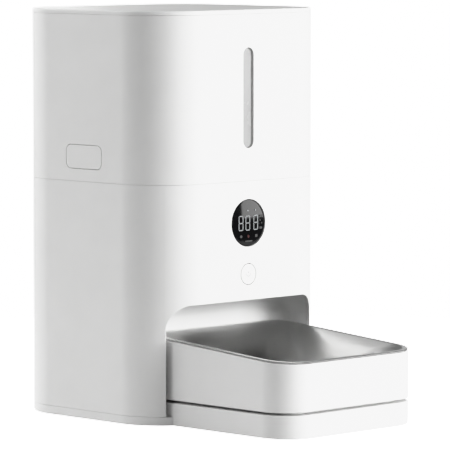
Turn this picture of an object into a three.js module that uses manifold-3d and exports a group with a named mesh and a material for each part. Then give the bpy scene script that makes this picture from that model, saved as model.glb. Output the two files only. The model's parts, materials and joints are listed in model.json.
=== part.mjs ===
// Automatic pet feeder, in millimetres. +Z is up, the bowl points to -Y, +X is to the right.
// The origin is the middle of the footprint, on the surface that the feet stand on.
import * as THREE from "three";
import { mergeVertices } from "three/addons/utils/BufferGeometryUtils.js";
import Module from "manifold-3d";

const wasm = await Module();
wasm.setup();

// ---------------------------------------------------------------- driving dimensions
const GAP = 0.3; // between pieces that touch
const ROUND = 6; // segments in a quarter turn of a large corner
const WALL = 2.5; // moulded casing walls

// tower: a rounded box, seen from above
const BODY_W = 195;
const BODY_D = 174;
const BODY_R = 45;
const FRONT_Y = -29;
const BACK_Y = FRONT_Y + BODY_D;
const AXIS_Y = FRONT_Y + BODY_D / 2; // the impeller turns about the tower's middle

// platform and tray in front of the tower
const TRAY_W = 153.5;
const TRAY_FRONT_Y = -145;
const TRAY_BACK_Y = 12;
const TRAY_FRONT_R = 26;
const TRAY_BACK_R = 10;
const TRAY_WALL = 2.2;
const RIM_Z = 60.2; // bowl rim at the tray's front
const RIM_SLOPE = 0.0745; // the rim rises towards the tower

// heights
const BASE_Z = 1.5;
const BASE_TOP = 19.6;
const PLATFORM_TOP = 20;
const FLOOR_T = 3;
const HOUSING_Z = BASE_TOP + GAP;
const HOUSING_TOP = 190.3;
const SHELL_Z = 190.9;
const SHELL_TOP = 322.9;
const LID_Z = 323.3;
const LID_TOP = 326.6;

// outlet opening and the bay behind it
const OPEN_HALF = 81;
const OPEN_TOP = 95.3;
const OPEN_R = 19;
const BAY_BACK_Y = 14;
const BAY_BACK_R = 14;
const BAY_T = 2;

// top deck and the plateau that centres the hopper
const DECK_T = 3;
const PLATEAU_INSET = 14;
const PLATEAU_TOP = 196.3;

// bucket, metering pocket and impeller
const BUCKET_Z = 197;
const BUCKET_WALL = 2;
const BUCKET_INSET = 6;
const POCKET_R = 52;
const POCKET_TOP = 226;
const FUNNEL_TOP = 258;
const OUTLET_R0 = 18;
const OUTLET_R1 = 46;
const OUTLET_HALF_ANGLE = 24;
const VANES = 6;

// drive train
const GEAR_TEETH = 36;
const PINION_TEETH = 12;
const GEAR_MODULE = 1.1;
const GEAR_Z = 168;
const GEAR_T = 6;
const MOTOR_ANGLE = 45;
const SHAFT_R = 3;

// controls
const DISPLAY_Z = 157.2;
const DISPLAY_R = 18.7;
const BUTTON_Z = 116.4;
const BUTTON_R = 8.2;
const SLOT_W = 11.4;
const SLOT_Z0 = 216.8;
const SLOT_Z1 = 296.5;
const SIDE_W = 41;
const SIDE_Z0 = 200.5;
const SIDE_Z1 = 219.8;
const SIDE_R = 5;

// feet, screws and the battery box
const FOOT_R = 8;
const FOOT_SIDES = 12;
const FEET = { front_left: [-58, -122], front_right: [58, -122], rear_left: [-72, 112], rear_right: [72, 112] };
const BASE_SCREWS = { front_left: [-84, 34], front_right: [84, 34], rear_left: [-66, 127], rear_right: [66, 127] };
const DECK_SCREWS = { front_left: [-87, 24], front_right: [87, 24], rear_left: [-87, 92], rear_right: [87, 92] };
const BATTERY = { x: 55, y0: 60, y1: 128, z0: 4.8, z1: 41 };
const INLET_X = 40;
const INLET_Z = 34;

// ---------------------------------------------------------------- materials
const paint = (color, roughness, metalness = 0) =>
  new THREE.MeshStandardMaterial({ color, roughness, metalness });
const WHITE = paint(0xf4f4f3, 0.35);
const INNER = paint(0xe6e6e4, 0.5);
const CLEAR = paint(0xcfd3d4, 0.2);
const BLACK = paint(0x0b0b0c, 0.08);
const RUBBER = paint(0x55585a, 0.8);
const SILICONE = paint(0xd9dcdc, 0.6);
const STEEL = paint(0xb9bbbd, 0.28, 1);
const BRASS = paint(0xc2a354, 0.35, 1);
const BOARD = paint(0x1f5d3c, 0.6);
const GEARS = paint(0xf0efe8, 0.45);

// ---------------------------------------------------------------- solids
function solid(geometry) {
  geometry.deleteAttribute("normal");
  geometry.deleteAttribute("uv");
  const merged = mergeVertices(geometry, 1e-4);
  const mesh = { numProp: 3, vertProperties: merged.attributes.position.array, triVerts: merged.index.array };
  return new wasm.Manifold(new wasm.Mesh(mesh));
}

function geometryOf(body) {
  const mesh = body.getMesh();
  const geometry = new THREE.BufferGeometry();
  geometry.setAttribute("position", new THREE.BufferAttribute(mesh.vertProperties, 3));
  geometry.setIndex(new THREE.BufferAttribute(mesh.triVerts, 1));
  geometry.computeVertexNormals();
  return geometry;
}

const join = (...bodies) => bodies.reduce((all, body) => all.add(body));
const cut = (body, ...tools) => tools.reduce((left, tool) => left.subtract(tool), body);

/** A flat outline raised along Z from z0 to z1. */
function slab(shape, z0, z1, segments = ROUND) {
  const settings = { depth: z1 - z0, bevelEnabled: false, curveSegments: segments };
  return solid(new THREE.ExtrudeGeometry(shape, settings).translate(0, 0, z0));
}

/** An outline drawn in X and Z, carried along Y from y0 to y1. */
function slabY(shape, y0, y1, segments = ROUND) {
  const settings = { depth: y1 - y0, bevelEnabled: false, curveSegments: segments };
  return solid(new THREE.ExtrudeGeometry(shape, settings).rotateX(Math.PI / 2).translate(0, y1, 0));
}

/** An outline drawn in Y and Z, carried along X from x0 to x1. */
function slabX(shape, x0, x1, segments = ROUND) {
  const settings = { depth: x1 - x0, bevelEnabled: false, curveSegments: segments };
  const axes = new THREE.Matrix4().makeBasis(
    new THREE.Vector3(0, 1, 0), new THREE.Vector3(0, 0, 1), new THREE.Vector3(1, 0, 0));
  return solid(new THREE.ExtrudeGeometry(shape, settings).applyMatrix4(axes).translate(x0, 0, 0));
}

function box(x0, x1, y0, y1, z0, z1) {
  const geometry = new THREE.BoxGeometry(x1 - x0, y1 - y0, z1 - z0);
  return solid(geometry.translate((x0 + x1) / 2, (y0 + y1) / 2, (z0 + z1) / 2));
}

/** An upright cylinder. */
function post(x, y, r, z0, z1, sides = 10) {
  return solid(new THREE.CylinderGeometry(r, r, z1 - z0, sides).rotateX(Math.PI / 2).translate(x, y, (z0 + z1) / 2));
}

/** A cylinder that lies along Y. */
function rod(x, z, r, y0, y1, sides = 16) {
  return solid(new THREE.CylinderGeometry(r, r, y1 - y0, sides).translate(x, (y0 + y1) / 2, z));
}

function roundedRect(u0, u1, v0, v1, r) {
  return roundedRect4(u0, u1, v0, v1, [r, r, r, r]);
}

/** radii: bottom left, bottom right, top right, top left */
function roundedRect4(u0, u1, v0, v1, [a, b, c, d]) {
  const shape = new THREE.Shape();
  const quarter = Math.PI / 2;
  const corner = (u, v, r, start) => {
    if (r > 0) shape.absarc(u, v, r, start, start + quarter, false);
    else shape.lineTo(u, v);
  };
  shape.moveTo(u0 + a, v0);
  corner(u1 - b, v0 + b, b, -quarter);
  corner(u1 - c, v1 - c, c, 0);
  corner(u0 + d, v1 - d, d, quarter);
  corner(u0 + a, v0 + a, a, 2 * quarter);
  return shape;
}

function polygon(points) {
  return new THREE.Shape(points.map(([u, v]) => new THREE.Vector2(u, v)));
}

/** The tower's outline, or the same outline drawn further in. */
function tower(inset) {
  const half = BODY_W / 2 - inset;
  return roundedRect(-half, half, FRONT_Y + inset, BACK_Y - inset, BODY_R - inset);
}

function trayOutline(inset) {
  const half = TRAY_W / 2 - inset;
  const front = TRAY_FRONT_R - inset;
  const back = TRAY_BACK_R - inset;
  return roundedRect4(-half, half, TRAY_FRONT_Y + inset, TRAY_BACK_Y - inset, [front, front, back, back]);
}

/** A tube between two insets of the tower's outline. */
function towerTube(outer, inner, z0, z1) {
  return cut(slab(tower(outer), z0, z1), slab(tower(inner), z0 - 1, z1 + 1));
}

/** Skins a list of rings, each an array of [x, y, z] with the same count, and closes both ends. */
function loft(rings) {
  const count = rings[0].length;
  const last = (rings.length - 1) * count;
  const middle = (ring) => ring.reduce((sum, p) => sum.map((s, k) => s + p[k] / count), [0, 0, 0]);
  const points = [...rings.flat(), middle(rings[0]), middle(rings[rings.length - 1])];
  const index = [];
  for (let i = 0; i < count; i++) {
    const j = (i + 1) % count;
    for (let r = 0; r < rings.length - 1; r++) {
      const [a, b, c, d] = [r * count + i, r * count + j, (r + 1) * count + i, (r + 1) * count + j];
      index.push(a, b, d, a, d, c);
    }
    index.push(points.length - 2, j, i, points.length - 1, last + i, last + j);
  }
  const geometry = new THREE.BufferGeometry();
  geometry.setAttribute("position", new THREE.Float32BufferAttribute(points.flat(), 3));
  geometry.setIndex(index);
  return solid(geometry);
}

// ---------------------------------------------------------------- the assembly
const feeder = new THREE.Group();

function place(name, body, material) {
  const mesh = new THREE.Mesh(geometryOf(body), material);
  mesh.name = name;
  feeder.add(mesh);
}

// base plate: a floor and skirt under the tower, and the platform that the tray stands on
function basePlate() {
  const half = TRAY_W / 2;
  const deckHalf = OPEN_HALF + 3.5;
  const front = TRAY_FRONT_R;
  const platform = roundedRect4(-half, half, TRAY_FRONT_Y, BAY_BACK_Y, [front, front, 0, 0]);
  const under = half - WALL;
  const underside = roundedRect4(-under, under, TRAY_FRONT_Y + WALL, BAY_BACK_Y - 2, [23.5, 23.5, 0, 0]);
  const roof = PLATFORM_TOP - FLOOR_T;
  const tub = cut(
    slab(tower(WALL), BASE_Z + FLOOR_T, BASE_TOP + 1),
    box(-deckHalf, deckHalf, FRONT_Y - 5, BAY_BACK_Y + 3, 0, BASE_TOP + 2));
  let body = join(slab(tower(0), BASE_Z, BASE_TOP), slab(platform, BASE_Z, PLATFORM_TOP));
  body = cut(body, tub, slab(underside, BASE_Z - 1, roof));
  for (const [name, [x, y]] of Object.entries(FEET)) {
    if (name.startsWith("front")) body = body.add(post(x, y, FOOT_R + 3, BASE_Z, roof + 1, FOOT_SIDES));
    body = body.subtract(post(x, y, FOOT_R + GAP, BASE_Z - 1, BASE_Z + 1.2, FOOT_SIDES));
  }
  for (const [x, y] of Object.values(BASE_SCREWS)) {
    body = body.add(post(x, y, 5.5, BASE_Z + 1, 8));
    body = cut(body, post(x, y, 3.6, 0, 4.8), post(x, y, 1.7, 4, 9));
  }
  const { x, y0, y1 } = BATTERY;
  return body.subtract(slab(roundedRect(-x + 3, x - 3, y0 + 3, y1 - 3, 4), 0, 6, 4));
}

// lower housing: the white sleeve of the tower, with screw posts inside it
function outletProfile(half, top, r) {
  return roundedRect4(-half, half, 0, top, [0, 0, r, r]);
}

function lowerHousing() {
  let body = towerTube(0, WALL, HOUSING_Z, HOUSING_TOP);
  const inside = slab(tower(1), 0, HOUSING_TOP);
  const fixings = [
    ...Object.values(BASE_SCREWS).map((p) => [p, 8.4, 52]),
    ...Object.values(DECK_SCREWS).map((p) => [p, 150, HOUSING_TOP - DECK_T - GAP]),
  ];
  for (const [[x, y], z0, z1] of fixings) {
    const out = Math.sign(x);
    const rib = y > 120 ? box(x - 1, x + 1, y, BACK_Y - 1, z0 + 12, z1)
      : box(Math.min(x, out * 96), Math.max(x, out * 96), y - 1, y + 1, z0 + 12, z1);
    body = body.add(join(post(x, y, 4.4, z0, z1), rib).intersect(inside));
  }
  for (const [[x, y], z0, z1] of fixings) {
    body = body.subtract(z0 > 100 ? post(x, y, 1.7, z1 - 22, z1 + 1) : post(x, y, 1.7, z0 - 1, z0 + 30));
  }
  for (const [x, z] of [[-22, 110], [22, 110], [-22, 176], [22, 176]]) {
    body = body.add(rod(x, z, 2.5, FRONT_Y + 1, FRONT_Y + 10.7, 10));
  }
  return cut(body,
    slabY(outletProfile(OPEN_HALF, OPEN_TOP, OPEN_R), FRONT_Y - 5, BAY_BACK_Y - 4, 6),
    rod(0, DISPLAY_Z, DISPLAY_R + GAP, FRONT_Y - 1, FRONT_Y + 5, 28),
    rod(0, BUTTON_Z, BUTTON_R + GAP, FRONT_Y - 1, FRONT_Y + 5),
    box(INLET_X - 6, INLET_X + 6, BACK_Y - 5, BACK_Y + 1, INLET_Z - 4.5, INLET_Z + 4.5));
}

// outlet bay: the rounded recess that the bowl's back end stands in
function outletBay() {
  const room = (grow, back, r) => {
    const half = OPEN_HALF + grow;
    const plan = slab(roundedRect4(-half, half, FRONT_Y - 30, back, [0, 0, r, r]), 0, OPEN_TOP + 10, 6);
    return plan.intersect(slabY(outletProfile(half, OPEN_TOP + grow, OPEN_R + grow), FRONT_Y - 20, back, 6));
  };
  const outer = room(BAY_T, BAY_BACK_Y + BAY_T, BAY_BACK_R + BAY_T).intersect(
    slab(tower(WALL + GAP), PLATFORM_TOP + GAP, OPEN_TOP + BAY_T));
  return cut(outer, room(0, BAY_BACK_Y, BAY_BACK_R), box(-19, 19, -10, 8, OPEN_TOP - 3, OPEN_TOP + 5));
}

// food chute: from the deck's outlet forward and down to the bay's ceiling
function foodChute() {
  const low = OPEN_TOP + BAY_T + GAP;
  const high = PLATEAU_TOP - 2.5 - GAP;
  const front = AXIS_Y - OUTLET_R1;
  const back = AXIS_Y - OUTLET_R0;
  const outer = polygon([[-12, low], [10, low], [back + 2, high], [front - 2, high]]);
  const inner = polygon([[-10, low - 1], [8, low - 1], [back, high + 1], [front, high + 1]]);
  const flange = box(-25, 25, -14.5, 12.5, low, low + 2);
  return cut(join(slabX(outer, -22, 22), flange), slabX(inner, -20, 20));
}

// top deck with the plateau that the hopper drops over
function sector(r0, r1, halfAngle) {
  const a0 = THREE.MathUtils.degToRad(-90 - halfAngle);
  const a1 = THREE.MathUtils.degToRad(-90 + halfAngle);
  const shape = new THREE.Shape();
  shape.absarc(0, AXIS_Y, r1, a0, a1, false);
  shape.absarc(0, AXIS_Y, r0, a1, a0, true);
  return shape;
}

function topDeck() {
  const z0 = HOUSING_TOP - DECK_T;
  let body = cut(
    join(slab(tower(WALL + GAP), z0, HOUSING_TOP), slab(tower(PLATEAU_INSET), z0, PLATEAU_TOP)),
    slab(tower(PLATEAU_INSET + 2.5), z0 - 1, PLATEAU_TOP - 2.5),
    slab(sector(OUTLET_R0, OUTLET_R1, OUTLET_HALF_ANGLE), PLATEAU_TOP - 5, PLATEAU_TOP + 1, 6),
    post(0, AXIS_Y, 6, PLATEAU_TOP - 5, PLATEAU_TOP + 1, 12));
  for (const side of [-1, 1]) {
    const x = side * 87.2;
    body = body.subtract(box(x - 4.6, x + 4.6, AXIS_Y - 11.5, AXIS_Y + 11.5, z0 - 1, HOUSING_TOP + 1));
  }
  for (const [x, y] of Object.values(DECK_SCREWS)) body = body.subtract(post(x, y, 1.7, z0 - 1, HOUSING_TOP + 1));
  return body;
}

// gear plate under the deck, with its four posts
const MOTOR_DISTANCE = GEAR_MODULE * (GEAR_TEETH + PINION_TEETH) / 2 + 0.15;
const MOTOR_X = MOTOR_DISTANCE * Math.cos(THREE.MathUtils.degToRad(MOTOR_ANGLE));
const MOTOR_Y = AXIS_Y + MOTOR_DISTANCE * Math.sin(THREE.MathUtils.degToRad(MOTOR_ANGLE));
const PLATE_Z = 160;
const PLATE_T = 3;

function gearPlate() {
  const [x0, x1, y0, y1] = [-28, 46, 42, 104];
  let body = slab(roundedRect(x0, x1, y0, y1, 8), PLATE_Z, PLATE_Z + PLATE_T, 4);
  for (const x of [x0 + 5, x1 - 5]) {
    for (const y of [y0 + 5, y1 - 5]) body = body.add(post(x, y, 3.5, PLATE_Z + 1, PLATEAU_TOP - 2.5 - GAP, 12));
  }
  return cut(body, post(0, AXIS_Y, SHAFT_R + GAP, PLATE_Z - 1, PLATE_Z + 5), post(MOTOR_X, MOTOR_Y, 3, PLATE_Z - 1, PLATE_Z + 5));
}

// spur gears: involute flanks, thinned a little so that the mesh runs free
function gearOutline(teeth, turn) {
  const pitch = GEAR_MODULE * teeth / 2;
  const pressure = THREE.MathUtils.degToRad(20);
  const base = pitch * Math.cos(pressure);
  const tip = pitch + GEAR_MODULE * 0.9;
  const root = pitch - GEAR_MODULE * 1.2;
  const involute = (r) => {
    const angle = Math.acos(Math.min(1, base / r));
    return Math.tan(angle) - angle;
  };
  const halfTooth = Math.PI / (2 * teeth) - 0.16 / pitch + involute(pitch);
  const start = Math.max(base, root);
  const radii = [start, tip];
  const points = [];
  for (let k = 0; k < teeth; k++) {
    const middle = turn + (2 * Math.PI * k) / teeth;
    const flank = radii.map((r) => [r, halfTooth - involute(r)]);
    if (start > root + 0.1) flank.unshift([root, flank[0][1]]);
    const left = flank.map(([r, a]) => [r, middle - a]);
    const right = flank.map(([r, a]) => [r, middle + a]).reverse();
    for (const [r, a] of [...left, ...right]) points.push([r * Math.cos(a), r * Math.sin(a)]);
  }
  return polygon(points);
}

function driveGear() {
  const rim = slab(gearOutline(GEAR_TEETH, THREE.MathUtils.degToRad(MOTOR_ANGLE)), GEAR_Z, GEAR_Z + GEAR_T);
  const hub = post(0, 0, 7, GEAR_Z - 3, GEAR_Z + GEAR_T + 4, 14);
  return cut(join(rim, hub), post(0, 0, SHAFT_R + GAP, GEAR_Z - 5, GEAR_Z + 15)).translate(0, AXIS_Y, 0);
}

function motorPinion() {
  const facing = THREE.MathUtils.degToRad(MOTOR_ANGLE + 180) + Math.PI / PINION_TEETH;
  const teeth = slab(gearOutline(PINION_TEETH, facing), GEAR_Z - 1, GEAR_Z + GEAR_T + 1);
  return teeth.subtract(post(0, 0, 1.5 + GAP, GEAR_Z - 3, GEAR_Z + GEAR_T - 1, 8)).translate(MOTOR_X, MOTOR_Y, 0);
}

function hexagon(r) {
  const corner = (k) => [r * Math.cos(Math.PI * k / 3), AXIS_Y + r * Math.sin(Math.PI * k / 3)];
  return polygon([0, 1, 2, 3, 4, 5].map(corner));
}

function driveDog() {
  const body = slab(hexagon(9), PLATEAU_TOP + 0.6, 205.5);
  return body.subtract(post(0, AXIS_Y, SHAFT_R + GAP, PLATEAU_TOP, 201));
}

// impeller: a hub with a hexagonal socket, and vanes that meter the food
function impeller() {
  const z0 = BUCKET_Z + 3;
  let body = post(0, AXIS_Y, 14, z0, 220, 18);
  for (let k = 0; k < VANES; k++) {
    const vane = box(10, POCKET_R - BUCKET_WALL - 1.6, -1.1, 1.1, z0, 220);
    body = body.add(vane.rotate(0, 0, (360 * k) / VANES).translate(0, AXIS_Y, 0));
  }
  return body.subtract(slab(hexagon(9.6), z0 - 1, 206.5));
}

function stirrer() {
  let body = post(0, AXIS_Y, 13, 220.3, 229, 16);
  for (const angle of [20, 200]) {
    const arm = join(box(0, 38, -2, 2, 227, 231), box(34, 38, -2, 2, 227, 240));
    body = body.add(arm.rotate(0, 0, angle).translate(0, AXIS_Y, 0));
  }
  return body;
}

// food bucket: straight walls, then a funnel down to a round metering pocket
const SIDE_STEPS = 4;

/** The points of the tower's outline about its middle, moved in: round corners and divided sides. */
function towerPoints(inset) {
  const r = BODY_R - inset;
  const corners = [[1, 1], [-1, 1], [-1, -1], [1, -1]].map(([sx, sy], corner) => {
    const [x, y] = [sx * (BODY_W / 2 - BODY_R), sy * (BODY_D / 2 - BODY_R)];
    return Array.from({ length: ROUND + 1 }, (_, k) => {
      const angle = (Math.PI / 2) * (corner + k / ROUND);
      return [x + r * Math.cos(angle), y + r * Math.sin(angle)];
    });
  });
  return corners.flatMap((points, corner) => {
    const [from, to] = [points[ROUND], corners[(corner + 1) % 4][0]];
    for (let k = 1; k < SIDE_STEPS; k++) {
      points.push(from.map((value, axis) => value + ((to[axis] - value) * k) / SIDE_STEPS));
    }
    return points;
  });
}

const outlineRing = (inset, z) => towerPoints(inset).map(([x, y]) => [x, AXIS_Y + y, z]);

/** A circle about the tower's middle, its points facing those of the outline. */
function circleRing(r, z) {
  return towerPoints(0).map(([x, y]) => [(r * x) / Math.hypot(x, y), AXIS_Y + (r * y) / Math.hypot(x, y), z]);
}

function foodBucket() {
  const w = BUCKET_WALL;
  const body = loft([
    circleRing(POCKET_R, BUCKET_Z), circleRing(POCKET_R, POCKET_TOP - 1),
    outlineRing(BUCKET_INSET, FUNNEL_TOP), outlineRing(BUCKET_INSET, 320.3),
    outlineRing(WALL + 0.4, 320.3), outlineRing(WALL + 0.4, 322.6),
    outlineRing(BUCKET_INSET + w, 322.6), outlineRing(BUCKET_INSET + w, FUNNEL_TOP + 1),
    circleRing(POCKET_R - w, POCKET_TOP), circleRing(POCKET_R - w, BUCKET_Z + 2.5),
  ]);
  return cut(body,
    slab(sector(OUTLET_R0, OUTLET_R1, OUTLET_HALF_ANGLE), BUCKET_Z - 1, BUCKET_Z + 4, 6),
    post(0, AXIS_Y, 10.6, BUCKET_Z - 1, BUCKET_Z + 4, 16));
}

function outletBaffle() {
  return slab(sector(16, POCKET_R - BUCKET_WALL - 0.8, 35), 222.4, 224.4, 8);
}

// hopper shell: the upper white sleeve, with a ledge for the bucket and a finger notch at the back
function windowSlot(grow) {
  const r = SLOT_W / 2 + grow;
  return roundedRect(-r, r, SLOT_Z0 - grow, SLOT_Z1 + grow, r - 0.01);
}

function sideOutline(shrink) {
  const half = SIDE_W / 2 - shrink;
  return roundedRect(AXIS_Y - half, AXIS_Y + half, SIDE_Z0 + shrink, SIDE_Z1 - shrink, SIDE_R - shrink);
}

function hopperShell() {
  const side = BODY_W / 2;
  return cut(
    join(towerTube(0, 2.4, SHELL_Z, SHELL_TOP), towerTube(1, 5.4, 316, 320)),
    slabY(windowSlot(0), FRONT_Y - 1, FRONT_Y + 2.6, 5),
    slabX(sideOutline(0), -side - 1, -side + 6, 4),
    slabX(sideOutline(0), side - 6, side + 1, 4),
    box(-22, 22, BACK_Y - 2.6, BACK_Y + 1, SHELL_TOP - 4, SHELL_TOP + 1));
}

function windowLens() {
  return slabY(windowSlot(3.5), FRONT_Y + 2.7, FRONT_Y + 4.3, 5);
}

// side release button: cap, block and the leg that reaches through the deck
function sideButton(side) {
  const face = BODY_W / 2;
  const span = (near, far) => (side < 0 ? [-far, -near] : [near, far]);
  const block = (near, far, half, z0, z1) => box(...span(near, far), AXIS_Y - half, AXIS_Y + half, z0, z1);
  return join(
    slabX(sideOutline(0.35), ...span(face - 3.2, face), 4),
    block(88, face - 2, 12, 203, 217),
    block(88, 91, 10, 184, 204));
}

function buttonBracket(side) {
  const span = (near, far) => (side < 0 ? [-far, -near] : [near, far]);
  const outer = box(...span(73, 94.8), AXIS_Y - 24, AXIS_Y + 24, 201, 219.4);
  return cut(outer, box(...span(75.4, 96), AXIS_Y - 21.6, AXIS_Y + 21.6, 200, 221));
}

/** A coil spring that lies along X between the bracket and the button's block. */
class Coil extends THREE.Curve {
  constructor(x0, x1, z, turns, r) {
    super();
    Object.assign(this, { x0, x1, z, turns, r });
  }

  getPoint(t) {
    const angle = 2 * Math.PI * this.turns * t;
    const x = this.x0 + (this.x1 - this.x0) * t;
    return new THREE.Vector3(x, AXIS_Y + this.r * Math.cos(angle), this.z + this.r * Math.sin(angle));
  }
}

function buttonSpring(side) {
  const turns = 3;
  const wire = polygon([[0.5, 0], [0, 0.5], [-0.5, 0], [0, -0.5]]);
  const path = new Coil(side * 76.4, side * 87, 210, turns, 4);
  return solid(new THREE.ExtrudeGeometry(wire, { steps: turns * 8, extrudePath: path }));
}

// front button, display and the boards behind them
function frontButton() {
  return join(
    rod(0, BUTTON_Z, BUTTON_R, FRONT_Y, FRONT_Y + 4),
    rod(0, BUTTON_Z, 10.4, FRONT_Y + 3, FRONT_Y + 4.4),
    rod(0, BUTTON_Z, 3, FRONT_Y + 4, FRONT_Y + 7.2, 12));
}

function displayLens() {
  return join(rod(0, DISPLAY_Z, DISPLAY_R, FRONT_Y + 0.1, FRONT_Y + 4, 28), rod(0, DISPLAY_Z, 20.6, FRONT_Y + 2.8, FRONT_Y + 4.2, 28));
}

// lid with a skirt, gasket, liner and a desiccant box
const SKIRT = 10;

function lid() {
  return join(slab(tower(0), LID_Z, LID_TOP), towerTube(SKIRT, SKIRT + 2, 309, LID_Z + 1));
}

function desiccantBox() {
  const room = (g) => slab(roundedRect(-38 + g, 38 - g, AXIS_Y - 28 + g, AXIS_Y + 28 - g, 8 - g), 292 + g, 312, 4);
  let body = cut(room(0), room(2));
  for (let k = -2; k <= 2; k++) body = body.subtract(box(k * 12 - 2, k * 12 + 2, AXIS_Y - 20, AXIS_Y + 20, 291, 295));
  return body;
}

// ---------------------------------------------------------------- placing the pieces
place("base_plate", basePlate(), WHITE);
for (const [name, [x, y]] of Object.entries(FEET)) {
  place(`foot_${name}`, post(x, y, FOOT_R, 0, BASE_Z + 0.9, FOOT_SIDES), RUBBER);
}
for (const [name, [x, y]] of Object.entries(BASE_SCREWS)) {
  place(`base_screw_${name}`, join(post(x, y, 3.2, 2.4, 4.5), post(x, y, 1.25, 4, 34, 6)), STEEL);
}

place("lower_housing", lowerHousing(), WHITE);
place("outlet_bay", outletBay(), WHITE);
place("food_chute", foodChute(), INNER);
for (const side of [-1, 1]) {
  const name = side < 0 ? "left" : "right";
  const xs = side < 0 ? [-24, -22.4] : [22.4, 24];
  place(`sensor_board_${name}`, box(...xs, -6, 8, 112, 126), BOARD);
}

place("top_deck", topDeck(), INNER);
for (const [name, [x, y]] of Object.entries(DECK_SCREWS)) {
  const top = HOUSING_TOP + GAP;
  place(`deck_screw_${name}`, join(post(x, y, 3, top, top + 1.8), post(x, y, 1.25, top - 22, top + 1, 6)), STEEL);
}
const seal = cut(post(0, AXIS_Y, 5.6, PLATEAU_TOP - 2.8, PLATEAU_TOP, 12), post(0, AXIS_Y, SHAFT_R + GAP, 190, 200));
place("shaft_seal", seal, RUBBER);

place("gear_plate", gearPlate(), INNER);
place("gearbox", post(MOTOR_X, MOTOR_Y, 18, 134, PLATE_Z - GAP, 20), STEEL);
place("motor", post(MOTOR_X, MOTOR_Y, 14, 96, 134 - GAP, 20), STEEL);
place("drive_gear", driveGear(), GEARS);
place("drive_shaft", post(0, AXIS_Y, SHAFT_R, 156, 200.6), STEEL);
place("drive_dog", driveDog(), GEARS);
const pinionShaft = post(MOTOR_X, MOTOR_Y, 1.5, PLATE_Z, GEAR_Z + GEAR_T - 1.4, 12);
place("motor_pinion", motorPinion(), BRASS);
place("pinion_shaft", pinionShaft, STEEL);

place("display_lens", displayLens(), BLACK);
place("display_module", box(-19, 19, FRONT_Y + 4.6, FRONT_Y + 10.6, DISPLAY_Z - 13, DISPLAY_Z + 13), BLACK);
place("main_board", box(-26, 26, FRONT_Y + 11, FRONT_Y + 12.6, 106, 180), BOARD);
place("button_switch", box(-3, 3, FRONT_Y + 8.8, FRONT_Y + 10.7, BUTTON_Z - 3, BUTTON_Z + 3), BLACK);
place("front_button", frontButton(), WHITE);

const inletBlock = box(INLET_X - 5.6, INLET_X + 5.6, 130, BACK_Y - 0.6, INLET_Z - 4.1, INLET_Z + 4.1);
const inletHole = rod(INLET_X, INLET_Z, 2.9, 134, BACK_Y, 16);
place("power_inlet", join(cut(inletBlock, inletHole), rod(INLET_X, INLET_Z, 0.9, 133, 143, 8)), BLACK);

const { x: batteryX, y0: batteryFront, y1: batteryBack, z0: batteryZ, z1: batteryTop } = BATTERY;
place("battery_box", cut(
  box(-batteryX, batteryX, batteryFront, batteryBack, batteryZ, batteryTop),
  box(-batteryX + 2, batteryX - 2, batteryFront + 2, batteryBack - 2, batteryZ - 1, batteryTop - 2)), INNER);
for (const [name, y] of [["front", batteryFront + 2.3], ["back", batteryBack - 3.1]]) {
  place(`battery_contact_${name}`, box(-50, 50, y, y + 0.8, 12, 34), BRASS);
}
place("battery_cover", slab(roundedRect(
  -batteryX + 3.4, batteryX - 3.4, batteryFront + 3.4, batteryBack - 3.4, 3.6), BASE_Z, 4.4, 4), WHITE);

place("hopper_shell", hopperShell(), WHITE);
place("window_lens", windowLens(), CLEAR);
place("food_bucket", foodBucket(), CLEAR);
place("outlet_baffle", outletBaffle(), INNER);
place("impeller", impeller(), SILICONE);
place("stirrer", stirrer(), INNER);
for (const side of [-1, 1]) {
  const name = side < 0 ? "left" : "right";
  place(`side_button_${name}`, sideButton(side), WHITE);
  place(`button_bracket_${name}`, buttonBracket(side), INNER);
  place(`button_spring_${name}`, buttonSpring(side), STEEL);
}

place("lid", lid(), WHITE);
place("lid_gasket", towerTube(BUCKET_INSET + BUCKET_WALL + 0.5, SKIRT - GAP, 311, 315), RUBBER);
place("lid_liner", slab(tower(SKIRT + 2 + GAP), 320.6, LID_Z - GAP), INNER);
place("desiccant_box", desiccantBox(), CLEAR);
place("desiccant_cover", slab(roundedRect(-40, 40, AXIS_Y - 30, AXIS_Y + 30, 9), 312.3, 320.3, 4), INNER);

// tray and bowl: both follow the sloping rim
const rimAt = (y) => RIM_Z + RIM_SLOPE * (y - TRAY_FRONT_Y);

function belowRim(drop) {
  const profile = [[-200, -10], [60, -10], [60, rimAt(60) - drop], [-200, rimAt(-200) - drop]];
  return slabX(polygon(profile), -100, 100);
}

function tray() {
  const z0 = PLATFORM_TOP + 2.3;
  const shell = cut(slab(trayOutline(0), z0, 90), slab(trayOutline(TRAY_WALL), z0 + 2.5, 91));
  let body = shell.intersect(belowRim(1.5));
  for (const x of [-58, 58]) {
    for (const y of [TRAY_FRONT_Y + 24, TRAY_BACK_Y - 16]) body = body.add(post(x, y, 5, PLATFORM_TOP + GAP, z0 + 1, 12));
  }
  return body;
}

const BOWL_FLOOR = 30;
const BOWL_T = 1.1;

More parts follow.
